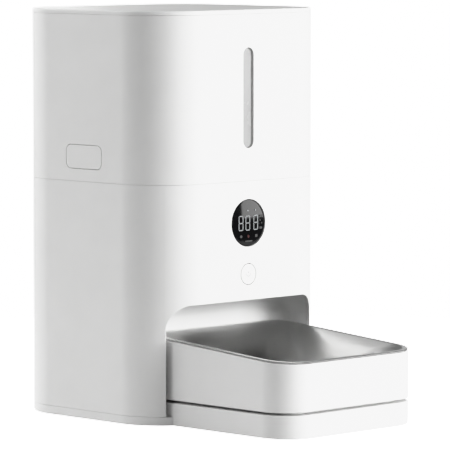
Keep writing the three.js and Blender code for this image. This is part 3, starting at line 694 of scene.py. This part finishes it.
def base_plate():
    """The tray under the tower and the platform in front of it, moulded in one."""
    low, high = extent("base_plate")
    top, platform = HOUSING_Z, high.z - 0.7
    base = object_from(TOWER.solid(block_profile(low.z, top, 1.0, SEAM_R)), "base_plate")
    join(base, platform_outline(0, BAY_BACK, 1).solid(block_profile(low.z, platform, 1.0, 0.6)))
    ledge_top = high.z + 1.2
    ledge = [(0, platform - 1), (0, ledge_top - 0.4), (0.4, ledge_top), (2, ledge_top), (2, platform - 1)]
    join(base, platform_outline(10, BAY_BACK - 5, 4).solid(ledge, shut=False))
    tub = object_from(TOWER.solid([(WALL, low.z + 3), (WALL, top + 1)]), "tub")
    reach = OPEN_HALF + 3.5
    carve(tub, block(-reach, reach, FRONT - 5, BAY_BACK + 3, 0, top + 3))
    combine(base, [tub], "DIFFERENCE")
    carve(base, platform_outline(WALL, BAY_BACK - 2, 1).solid([(0, low.z - 2), (0, platform - 2.6)]))
    for corner in CORNERS:
        foot, screw = middle(f"foot_{corner}"), middle(f"base_screw_{corner}")
        if corner.startswith("front"):
            join(base, post(foot.x, foot.y, FOOT_R + 3, low.z, high.z - 2.5, 0.3))
        carve(base, post(foot.x, foot.y, FOOT_R + 0.3, low.z - 2, low.z + 1.2, 0.1))
        join(base, post(screw.x, screw.y, 5.5, low.z + 1, 8, 0.2))
        carve(base, post(screw.x, screw.y, 3.6, low.z - 2, 4.8, 0.1), post(screw.x, screw.y, 1.7, 4, 9, 0.1))
    low, high = extent("battery_cover")
    carve(base, block(low.x - 0.4, high.x + 0.4, low.y - 0.4, high.y + 0.4, 0, 6, 4))
    finish_piece(base, "root", "white_shell", ("base_plate",))


def outlet_bay():
    """The recess behind the opening: one sheet, rounded where its back meets its sides and ceiling."""
    low = BAY_LOW.z
    profile = [(OPEN_HALF, low)] + arc((OPEN_HALF - OPEN_R, OPEN_TOP - OPEN_R), OPEN_R, 0, 90, 12)
    profile += [(x, OPEN_TOP) for x in (59, 56, 52.5)]
    profile += [(-x, z) for x, z in reversed(profile)]
    flat = HALF - TOWER_R
    reach = TOWER_R - WALL - GAP

    def mouth(x):
        return FRONT + TOWER_R - math.sqrt(reach ** 2 - max(0.0, abs(x) - flat) ** 2)

    start = BAY_BACK - BAY_R
    rows = [[(x, mouth(x), z) for x, z in profile], [(x, start - 1, z) for x, z in profile]]
    for k in range(9):
        t = math.radians(90 * k / 8)
        moved = grow(profile, -BAY_R * (1 - math.cos(t)), closed=False)
        rows.append([(x, start + BAY_R * math.sin(t), z) for x, z in moved])
    bm = bmesh.new()
    strips(bm, rows, closed=False)
    bm.faces.new([bm.verts.new(p) for p in rows[-1]])
    bay = object_from(bm, "outlet_bay")
    sheet = bay.modifiers.new("thickness", "SOLIDIFY")
    sheet.thickness = BAY_T * MM
    sheet.offset = 1
    (x0, y0), (x1, y1) = CHUTE_HOLE
    carve(bay, block(x0, x1, y0, y1, OPEN_TOP - 4, OPEN_TOP + 6, 2))
    finish_piece(bay, "root", "white_shell", ("outlet_bay",))


# ---------------------------------------------------------------- tray and bowl
def tray():
    low = TRAY_LOW.z + TRAY_PAD_H
    steps = range(FILLET_STEPS + 1)

    def top(drop):
        return lambda y: rim_height(y) - 1.5 - drop

    profile = [(2.5, low)] + rounded(low, 0.9, 1)[::-1]
    profile += [(b * 0.5, top(a * 0.5)) for a, b in map(fillet, steps)]
    profile += [(TRAY_WALL - b * 0.5, top(a * 0.5)) for a, b in map(fillet, reversed(steps))]
    profile += [(TRAY_WALL, low + 5)]
    profile += [(TRAY_WALL + a * 2.5, low + 2.5 + b * 2.5) for b, a in map(fillet, steps)]
    bm = TRAY.solid(profile)
    for x in (-58, 58):
        for y in (TRAY.front + 24, TRAY.back - 16):
            post(x, y, 5, TRAY_LOW.z, low + 1, 0.4, 40, bm)
    piece("tray", bm, "tray", "white_shell")


def smooth_line(points, steps):
    """A Catmull-Rom line through points."""
    spots = [Vector(p) for p in points]
    ends = [spots[0] * 2 - spots[1]] + spots + [spots[-1] * 2 - spots[-2]]
    line = []
    for a, b, c, d in zip(ends, ends[1:], ends[2:], ends[3:]):
        for k in range(steps):
            t = k / steps
            line.append(0.5 * (2 * b + (c - a) * t + (2 * a - 5 * b + 4 * c - d) * t ** 2
                               + (3 * b - 3 * c + d - a) * t ** 3))
    return [tuple(p) for p in line + [spots[-1]]]


def bowl_ring(inset, depth, drop):
    """The tray's outline moved in, part of the way down from the rim to the bowl's floor."""
    share = min(1.0, depth / 0.9) ** 0.7
    wide = min(BOWL_CORNER_R, TRAY.half - inset - 4)
    radii = [max(3, (r - inset) * (1 - share) + wide * share) for r in (TRAY_FRONT_R, TRAY_BACK_R)]
    line = Outline(TRAY.half - inset, TRAY.front + inset, TRAY.back - inset, *radii, 4.5)
    return line.ring(0, lambda y: rim_height(y) * (1 - depth) + BOWL_FLOOR * depth - drop)


def bowl():
    """A pressed dish: the sheet's edge is rounded, and its underside runs beside its inside."""
    inner = smooth_line(BOWL_PROFILE, 3)
    half = BOWL_T / 2
    angles = [math.radians(a) for a in range(0, 181, 30)]
    turn = [(half * (1 - math.sin(a)), half * (1 - math.cos(a))) for a in angles]
    rings = [bowl_ring(inset, depth, BOWL_T) for inset, depth in reversed(inner)]
    rings += [bowl_ring(inset, 0, drop) for inset, drop in reversed(turn)]
    rings += [bowl_ring(inset + 0.9, depth, 0) for inset, depth in inner]
    piece("bowl", skin(rings), "bowl", "bowl_steel")


# ---------------------------------------------------------------- display and buttons
def display_lens():
    """A glossy black disc on a short collar. Its face is slightly domed."""
    low, high = extent("display_lens")
    face, z = low.y, (low.z + high.z) / 2
    rim_y = face + DOME
    front = [(LENS_R * (1 - k / 10), face + DOME * (k / 10) ** 2) for k in range(1, 10)]
    edge = [(0.4, face + DOME * 0.95), (0.12, rim_y + 0.08), (0, rim_y + 0.4)]
    collar = [(0, face + 3.2), (-1.9, face + 3.4), (-1.9, high.y)]
    bm = stack("y", circle((0, z), LENS_R, 128), front + edge + collar)
    piece("display_lens", bm, "root", "display_black", material=LENS_BLACK)


def plates(name, outlines, y, glow, body="root", nodes=(), thickness=0.12):
    """Flat printed or lit marks, as one piece."""
    bm = bmesh.new()
    for outline in outlines:
        stack("y", outline, [(0, y), (0, y + thickness)], bm)
    piece(name, bm, body, "white_shell", nodes, material=glow)


def segment(u, v, length, width, upright):
    """One pointed bar of a seven-segment digit about its middle."""
    half, w = length / 2, width / 2
    shape = [(-half, 0), (-half + w, -w), (half - w, -w), (half, 0), (half - w, w), (-half + w, w)]
    if upright:
        shape = [(-b, a) for a, b in shape]
    return [(u + a, v + b) for a, b in shape]


def digit(x, z, width, height, bar):
    """The seven bars of a lit 8."""
    across = [segment(x, z + dz, width - bar * 0.5, bar, False) for dz in (-height / 2, 0, height / 2)]
    down = [segment(x + dx, z + dz, height / 2 - bar * 0.3, bar, True)
            for dx in (-width / 2, width / 2) for dz in (-height / 4, height / 4)]
    return across + down


def display_marks():
    """Three lit digits, with a column of small symbols beside them and icons above and below."""
    z = middle("display_lens").z
    y = extent("display_lens")[0].y - 0.03
    digits = [bar for x in DIGIT_PLACES for bar in digit(x, z, 4.4, 11.2, 0.75)]
    digits += [circle((x, z + 9.9), 0.65, 16) for x in (-0.7, 8.1)]
    plates("display_digits", digits, y, DIGIT_GLOW, thickness=0.4)
    column = [rounded_rect(12.6, 15.8, z + 4.6, z + 5.8, 0.3, 3), circle((13.2, z + 1.6), 0.7, 16),
              circle((15.2, z - 0.6), 0.6, 16), rounded_rect(12.4, 15.4, z - 5.4, z - 3.6, 0.6, 4)]
    lower = [circle((-8.1, z - 10.5), 1.2, 24), rounded_rect(7.7, 10.3, z - 11.6, z - 9.5, 0.5, 4),
             rounded_rect(-3.5, 4.4, z - 15.0, z - 14.0, 0.4, 4)]
    plates("display_icons", column + lower, y, DIM_GLOW, thickness=0.5)
    alert = rounded_rect(-0.9, 0.9, z - 11.8, z - 9.4, 0.8, 4)
    plates("display_alert_icon", [alert], y, RED_GLOW, thickness=0.4)


def front_button():
    low, high = extent("front_button")
    z = middle("front_button").z
    collar = [(0, low.y + 3), (-2.2, low.y + 3.1), (-2.2, low.y + 4.4), (5.2, low.y + 4.4), (5.2, high.y)]
    bm = stack("y", circle((0, z), BUTTON_R, 64), rounded(low.y, 0.3, 1)[::-1] + collar)
    piece("front_button", bm, "front_button", "white_shell")
    bowl_mark = arc((0, z + 0.6), 2.6, 180, 360, 16) + arc((0, z + 0.6), 2.0, 360, 180, 14)
    marks = [bowl_mark, circle((0, z + 1.4), 0.7, 16)]
    plates("front_button_icon", marks, low.y - 0.02, DIM_PRINT, "front_button", thickness=0.1)


def side_button(side):
    """The button in the hopper's flank, with a block behind it and a leg that reaches down into the deck."""
    foot = extent(f"side_button_{side}")[0].z
    out = 1 if side == "right" else -1
    face = out * HALF
    bm = stack("x", side_button_outline(side, 0), rounded(face, 0.3, -out)[::-1] + [(0, face - out * 3.2)])
    for near, far, half, z0, z1 in ((88, HALF - 3.0, 12, 203, 217), (88, 91, 10, foot, 204)):
        x0, x1 = sorted((out * near, out * far))
        block(x0, x1, AXIS_Y - half, AXIS_Y + half, z0, z1, 0.6, 0.4, bm)
    piece(f"side_button_{side}", bm, f"side_button_{side}", "white_shell")


def window_lens():
    """A plate behind the shell's wall, raised where it fills the window."""
    low, high = extent("window_lens")
    outline = capsule(0, low.z, high.z, (high.x - low.x) / 2)
    step = WINDOW_RIM + 0.2
    raised = [(step + 0.2, low.y - 0.9), (step, low.y - 0.7), (step, low.y)]
    bm = stack("y", outline, raised + block_profile(low.y, high.y, 0.2))
    piece("window_lens", bm, "hopper", "clear_plastic", material=WINDOW_GREY)


# ---------------------------------------------------------------- underside and back
def feet():
    for corner in CORNERS:
        name = f"foot_{corner}"
        spot, top = middle(name), extent(name)[1].z
        profile = [(2.2, 0.35), (1.9, 0.0)] + rounded(0, 0.6, 1)[::-1] + rounded(top, 0.2, -1)
        piece(name, stack("z", circle((spot.x, spot.y), FOOT_R, 48), profile), "root", "foot_rubber")


def screw(name, head_r, head_low, head_high, upward):
    """A pan-head screw with a cross recess. Its shank points away from the head's flat face."""
    low, high = extent(name)
    spot = middle(name)
    step = head_r - SHANK_R
    if upward:
        profile = [(step, low.z), (step, head_low), (0, head_low)] + rounded(head_high, 0.9, -1)
    else:
        profile = rounded(head_low, 0.5, 1)[::-1] + [(0, head_high), (step, head_high), (step, high.z)]
    face = head_high if upward else head_low
    cross = [block(spot.x - dx, spot.x + dx, spot.y - dy, spot.y + dy, face - 0.9, face + 0.9, 0.1, 0.05)
             for dx, dy in ((1.7, 0.32), (0.32, 1.7))]
    bm = stack("z", circle((spot.x, spot.y), head_r, 32), profile)
    piece(name, bm, "root", "machined_steel", cuts=cross)


def screws():
    top = HOUSING_HIGH.z + GAP
    for corner in CORNERS:
        screw(f"base_screw_{corner}", 3.2, 2.4, 4.5, False)
        screw(f"deck_screw_{corner}", 3.0, top, top + 1.8, True)


def battery_cover():
    """The cover in the base, with four grip grooves."""
    low, high = extent("battery_cover")
    starts = [low.y + 6 + 2.4 * k for k in range(4)]
    grooves = [block(-9, 9, y, y + 1.2, low.z - 1, low.z + 0.7, 0.5, 0.1) for y in starts]
    bm = block(low.x, high.x, low.y, high.y, low.z, high.z, 3.6, 0.5)
    piece("battery_cover", bm, "root", "white_shell", cuts=grooves)


def power_inlet():
    """A round socket with a pin in it."""
    low, high = extent("power_inlet")
    spot = middle("power_inlet")
    outline = rounded_rect(low.x, high.x, low.z, high.z, 1.2, 5)
    socket = stack("y", circle((spot.x, spot.z), 2.9, 40), [(0, 134), (0, high.y + 2)])
    pin = stack("y", circle((spot.x, spot.z), 0.9, 24), [(0, 133), (0, 142.4), (0.4, 143)])
    bm = stack("y", outline, block_profile(low.y, high.y, 0.4))
    piece("power_inlet", bm, "root", "display_black", cuts=[socket], adds=[pin])


# ---------------------------------------------------------------- inside
def sector(r0, r1, half_angle, steps=16):
    """Part of a ring about the impeller's axis, towards the front."""
    ends = (-90 - half_angle, -90 + half_angle)
    return arc((0, AXIS_Y), r1, *ends, steps) + arc((0, AXIS_Y), r0, *ends[::-1], steps)


def turned(points, degrees):
    """An outline turned about the impeller's axis."""
    c, s = math.cos(math.radians(degrees)), math.sin(math.radians(degrees))
    return [(x * c - (y - AXIS_Y) * s, AXIS_Y + x * s + (y - AXIS_Y) * c) for x, y in points]


def hexagon(r):
    return arc((0, AXIS_Y), r, 0, 360, 6)[:-1]


def bucket_ring(inset, z, r=None, share=0.0):
    """A ring of the food bucket: the tower's outline moved in, or part of the way from it to a circle."""
    ring = []
    for u in BUCKET.columns():
        spot, outer = BUCKET.at(u, inset), BUCKET.at(u)
        way = Vector((outer.x, outer.y - AXIS_Y)).normalized() * (r or 0)
        point = Vector((spot.x, spot.y)).lerp(Vector((way.x, way.y + AXIS_Y)), share)
        ring.append((point.x, point.y, z))
    return ring


def funnel(inset, r, low, high):
    """Rings from the round pocket up to the straight walls, with a soft bend at both ends."""
    rings = []
    for k in range(11):
        t = k / 10
        bend = 0.06 * math.sin(2 * math.pi * t)
        rings.append(bucket_ring(inset, low + (high - low) * t, r, 1 - t + bend))
    return rings


def food_bucket():
    """Straight walls with a hanging flange, a funnel, and a round metering pocket with its outlet."""
    low, high = extent("food_bucket")
    outer_r, inner_r, wall = POCKET_R, POCKET_R - BUCKET_T, BUCKET_INSET + BUCKET_T
    edge = ((low.z, outer_r - 1), (low.z + 1, outer_r))
    outside = [bucket_ring(BUCKET_INSET, z, r, 1) for z, r in edge]
    outside += funnel(BUCKET_INSET, outer_r, POCKET_TOP - 1, FUNNEL_TOP)
    under, top = HOPPER_LEDGE[1] + GAP, high.z
    flange = [(BUCKET_INSET, under), (3.0, under), (2.9, under + 0.3), (2.9, top - 0.4), (3.3, top),
              (wall - 0.5, top), (wall, top - 0.5)]
    within = funnel(wall, inner_r, POCKET_TOP, FUNNEL_TOP + 1)[::-1]
    floor = ((low.z + 4, inner_r), (low.z + 2.5, inner_r - 1.5))
    within += [bucket_ring(BUCKET_INSET, z, r, 1) for z, r in floor]
    rings = outside + [bucket_ring(inset, z) for inset, z in flange] + within
    outlet = stack("z", sector(*OUTLET), [(0, low.z - 2), (0, low.z + 4)])
    bore = post(0, AXIS_Y, 10.6, low.z - 2, low.z + 4)
    piece("food_bucket", skin(rings), "hopper", "clear_plastic", cuts=[outlet, bore])


def top_deck():
    """The plate that closes the housing, with the plateau that centres the hopper."""
    low, high = extent("top_deck")
    plate, edge = low.z + 3, WALL + GAP
    profile = [(16.5, high.z - 2.5), (16.5, low.z), (edge, low.z), (edge, plate - 0.3), (edge + 0.3, plate)]
    profile += [(13.2, plate), (13.7, plate + 0.2), (14, plate + 0.8)] + rounded(high.z, 1.2, -1, 14)
    cuts = [stack("z", sector(*OUTLET), block_profile(high.z - 6, high.z + 3, 0.1)),
            post(0, AXIS_Y, 6, high.z - 6, high.z + 3)]
    for x in (-LEG_X, LEG_X):
        cuts.append(block(x - 4.6, x + 4.6, AXIS_Y - 11.5, AXIS_Y + 11.5, low.z - 1, plate + 1, 1.5, 0.1))
    for spot in (middle(f"deck_screw_{corner}") for corner in CORNERS):
        cuts.append(post(spot.x, spot.y, 1.7, low.z - 1, plate + 1, 0.1, 24))
    spoke = rounded_rect(-0.8, 0.8, AXIS_Y + 24, AXIS_Y + 56, 0.7, 3)
    spokes = [stack("z", turned(spoke, angle), block_profile(high.z - 1, high.z + 0.5, 0.2))
              for angle in (-40, 0, 40, 80, -80)]
    piece("top_deck", TOWER.solid(profile), "root", "inner_plastic", cuts=cuts, adds=spokes)


def impeller():
    """A soft hub with a hexagonal socket and six vanes."""
    low, high = extent("impeller")
    hub = post(0, AXIS_Y, 14, low.z, high.z, 0.8, 64)
    socket = stack("z", hexagon(9.6), [(0, low.z - 1), (0, low.z + 6.5)])
    vane = rounded_rect(10, high.x, AXIS_Y - 1.1, AXIS_Y + 1.1, 0.9, 4)
    vanes = [stack("z", turned(vane, 60 * k), block_profile(low.z, high.z, 0.4)) for k in range(6)]
    piece("impeller", hub, "rotor", "silicone", cuts=[socket], adds=vanes)


def stirrer():
    """A domed cap on the impeller's hub, with two arms that reach up into the food."""
    low, high = extent("stirrer")
    side = [(0.4, low.z), (0, low.z + 0.4), (0, low.z + 2.5)]
    dome = [(0.5 + 12 * (k / 6) ** 2.2, low.z + 3 + 5.7 * math.sin(math.radians(15 * k))) for k in range(7)]
    arms = []
    for angle in (20, 200):
        for start, bottom, top in ((4, high.z - 13, high.z - 9), (34, high.z - 12.5, high.z)):
            arm = turned(rounded_rect(start, 38, AXIS_Y - 2, AXIS_Y + 2, 1.6, 4), angle)
            arms.append(stack("z", arm, block_profile(bottom, top, 0.8)))
    cap = stack("z", circle((0, AXIS_Y), 13, 64), side + dome)
    piece("stirrer", cap, "rotor", "inner_plastic", adds=arms)


def outlet_baffle():
    low, high = extent("outlet_baffle")
    outline = sector(16, POCKET_R - BUCKET_T - 0.8, 35, 24)
    piece("outlet_baffle", stack("z", outline, block_profile(low.z, high.z, 0.5)), "hopper", "inner_plastic")


def drive_dog():
    low, high = extent("drive_dog")
    bm = stack("z", hexagon(9), block_profile(low.z, high.z, 0.4, 1.4))
    bore = post(0, AXIS_Y, 3.3, low.z - 1, 201, 0.1, 32)
    piece("drive_dog", bm, "drive", "gear_plastic", cuts=[bore])


def lid_seal():
    """The gasket round the lid's skirt, with two lips, and the liner inside the skirt."""
    low, high = extent("lid_gasket")
    lips = [(8.5, low.z), (9.7, low.z), (9.7, high.z), (8.9, high.z), (8.9, high.z - 0.6), (8.5, high.z - 1),
            (8.5, high.z - 1.4), (8.9, high.z - 1.8), (8.9, low.z + 1.8), (8.5, low.z + 1.4)]
    piece("lid_gasket", TOWER.solid(lips, shut=False), "lid", "foot_rubber")
    low, high = extent("lid_liner")
    piece("lid_liner", TOWER.solid(block_profile(low.z, high.z, 0.8, 0.2, 12.3)), "lid", "inner_plastic")


def desiccant_holder():
    """The slotted box under the lid for a drying agent, and the cover over it."""
    low, high = extent("desiccant_cover")
    outline = rounded_rect(low.x, high.x, low.y, high.y, 9, 10)
    grips = [block(x - 1.4, x + 1.4, AXIS_Y - 9, AXIS_Y + 9, low.z + 2, high.z - 2, 0.6, 0.4)
             for x in (-40.4, 40.4)]
    bm = stack("z", outline, block_profile(low.z, high.z, 0.8, 0.4))
    piece("desiccant_cover", bm, "lid", "inner_plastic", cuts=grips)
    low, high = extent("desiccant_box")
    outline = rounded_rect(low.x, high.x, low.y, high.y, 8, 10)
    profile = block_profile(low.z, high.z, 1.6, 0.3)
    profile += [(2, high.z), (2, low.z + 3.5), (2.4, low.z + 2.4), (3.5, low.z + 2)]
    slots = [block(x - 2, x + 2, AXIS_Y - 20, AXIS_Y + 20, low.z - 1, low.z + 3, 1.9, 0.1)
             for x in range(-24, 25, 12)]
    piece("desiccant_box", stack("z", outline, profile), "lid", "clear_plastic", cuts=slots)


def button_bracket(side):
    """The open frame that guides a side button."""
    low, high = extent(f"button_bracket_{side}")
    bm = block(low.x, high.x, low.y, high.y, low.z, high.z, 2, 0.4)
    x0, x1 = (low.x + 2.4, low.x + 40) if side == "right" else (high.x - 40, high.x - 2.4)
    room = block(x0, x1, low.y + 2.4, high.y - 2.4, low.z - 2, high.z + 2, 1.2, 0.1)
    piece(f"button_bracket_{side}", bm, "hopper", "inner_plastic", cuts=[room])


def button_spring(side):
    """The coil that pushes a side button out."""
    out = 1 if side == "right" else -1
    low, high = extent(f"button_spring_{side}")
    seat = Vector((low.x if out > 0 else high.x, (low.y + high.y) / 2, (low.z + high.z) / 2))
    r, wire, turns, steps = (high.z - low.z) / 2 - 0.5, 0.45, 3, 144
    rings = []
    for k in range(steps + 1):
        a = 2 * math.pi * turns * k / steps
        outward = Vector((0, math.cos(a), math.sin(a)))
        spot = seat + r * outward + Vector((out * (0.5 + (high.x - low.x - 1) * k / steps), 0, 0))
        rings.append([spot + wire * (outward * math.cos(b) + Vector((1, 0, 0)) * math.sin(b))
                      for b in (2 * math.pi * j / 12 for j in range(12))])
    coil = piece(f"button_spring_{side}", skin(rings), "hopper", "spring_steel")
    seat *= MM
    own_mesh(coil)


# ---------------------------------------------------------------- view and lights
def towards(azimuth, elevation):
    """The way from the object out to a camera or a light. Azimuth 0 is in front of it, 90 to its right."""
    a, e = math.radians(azimuth), math.radians(elevation)
    return Vector((math.sin(a) * math.cos(e), -math.cos(a) * math.cos(e), math.sin(e)))


def stand(name, data, place, way):
    """Puts a camera or a light at a place, looking back along way."""
    made = bpy.data.objects.new(name, data)
    made.location = place
    made.rotation_mode = "QUATERNION"
    made.rotation_quaternion = (-way).to_track_quat("-Z", "Y")
    bpy.context.scene.collection.objects.link(made)
    return made


def camera():
    """Far off to the front left, a little above the object."""
    data = bpy.data.cameras.new("camera")
    data.lens = CAMERA_LENS
    data.sensor_width = 36
    data.clip_start, data.clip_end = 0.1, 50
    bpy.context.scene.camera = stand("camera", data, CAMERA_PLACE, towards(*CAMERA_WAY))


def softbox(name, azimuth, elevation, width, height, power):
    """A rectangular light that faces the object's middle."""
    data = bpy.data.lights.new(name, "AREA")
    data.shape = "RECTANGLE"
    data.size, data.size_y = width, height
    data.energy = power
    way = towards(azimuth, elevation)
    made = stand(name, data, LIGHT_TARGET + way * LIGHT_REACH, way)
    made.visible_glossy = False
    return made


def camera_rays(tree, seen, otherwise):
    """A colour that differs between what the camera sees and what lights the object."""
    path = tree.nodes.new("ShaderNodeLightPath")
    mix = tree.nodes.new("ShaderNodeMix")
    mix.data_type = "RGBA"
    mix.inputs["A"].default_value = (otherwise, otherwise, otherwise, 1)
    mix.inputs["B"].default_value = (seen, seen, seen, 1)
    tree.links.new(path.outputs["Is Camera Ray"], mix.inputs["Factor"])
    return mix.outputs["Result"]


def soft_highlights(settings):
    """A camera response that is straight up to the middle tones and bends the lightest ones over."""
    settings.view_transform = "Standard"
    settings.use_curve_mapping = True
    settings.curve_mapping.white_level = (BACKDROP, BACKDROP, BACKDROP)
    points = settings.curve_mapping.curves[3].points
    for light, shown in TONES:
        points.new(light / BACKDROP, shown)
    for point in points:
        point.handle_type = "AUTO_CLAMPED"
    settings.curve_mapping.update()


def studio():
    """A white room: soft lights, cards for reflections, and a floor that the camera sees as plain white."""
    scene = bpy.context.scene
    soft_highlights(scene.view_settings)
    world = bpy.data.worlds.new("studio")
    scene.world = world
    world.use_nodes = True
    tree = world.node_tree
    tree.links.new(camera_rays(tree, BACKDROP, AMBIENT), tree.nodes["Background"].inputs["Color"])
    for name, azimuth, elevation, power in LIGHTS:
        softbox(name, azimuth, elevation, *LIGHT_SIZE, power)
    for card_values in CARDS:
        card = softbox(*card_values)
        card.visible_glossy, card.visible_diffuse = True, False
    bm = bmesh.new()
    bmesh.ops.create_circle(bm, cap_ends=True, radius=FLOOR_R, segments=96)
    mesh = bpy.data.meshes.new("floor")
    bm.to_mesh(mesh)
    bm.free()
    floor = bpy.data.objects.new("floor", mesh)
    scene.collection.objects.link(floor)
    mesh.materials.append(material("floor", (0.6, 0.6, 0.6), 0.8))
    tree = mesh.materials[0].node_tree
    shader = tree.nodes["Principled BSDF"]
    tree.links.new(camera_rays(tree, BACKDROP, 0.0), shader.inputs["Emission Color"])
    shader.inputs["Emission Strength"].default_value = 1


def keep_cad_nodes():
    """Nodes that keep their CAD shape: welded, their edges broken, and in their slot's material."""
    for row in frame["record"]["subparts"]:
        node = frame["nodes"][row["node"]]
        for index in range(max(1, len(node.material_slots))):
            if not node.material_slots:
                node.data.materials.append(None)
            node.material_slots[index].link = "OBJECT"
            node.material_slots[index].material = MATERIALS[row["material_slot"]]
        if node.hide_render:
            continue
        node.modifiers.new("weld", "WELD").merge_threshold = 0.00001
        bevel = node.modifiers.new("edges", "BEVEL")
        bevel.width = 0.25 * MM
        bevel.segments = 2
        bevel.limit_method = "ANGLE"
        bevel.angle_limit = math.radians(40)


lower_housing()
hopper_shell()
lid()
base_plate()
outlet_bay()
tray()
bowl()
display_lens()
display_marks()
front_button()
for side in ("left", "right"):
    side_button(side)
window_lens()
feet()
screws()
battery_cover()
power_inlet()
food_bucket()
top_deck()
impeller()
stirrer()
outlet_baffle()
drive_dog()
lid_seal()
desiccant_holder()
for side in ("left", "right"):
    button_bracket(side)
    button_spring(side)
keep_cad_nodes()
camera()
studio()
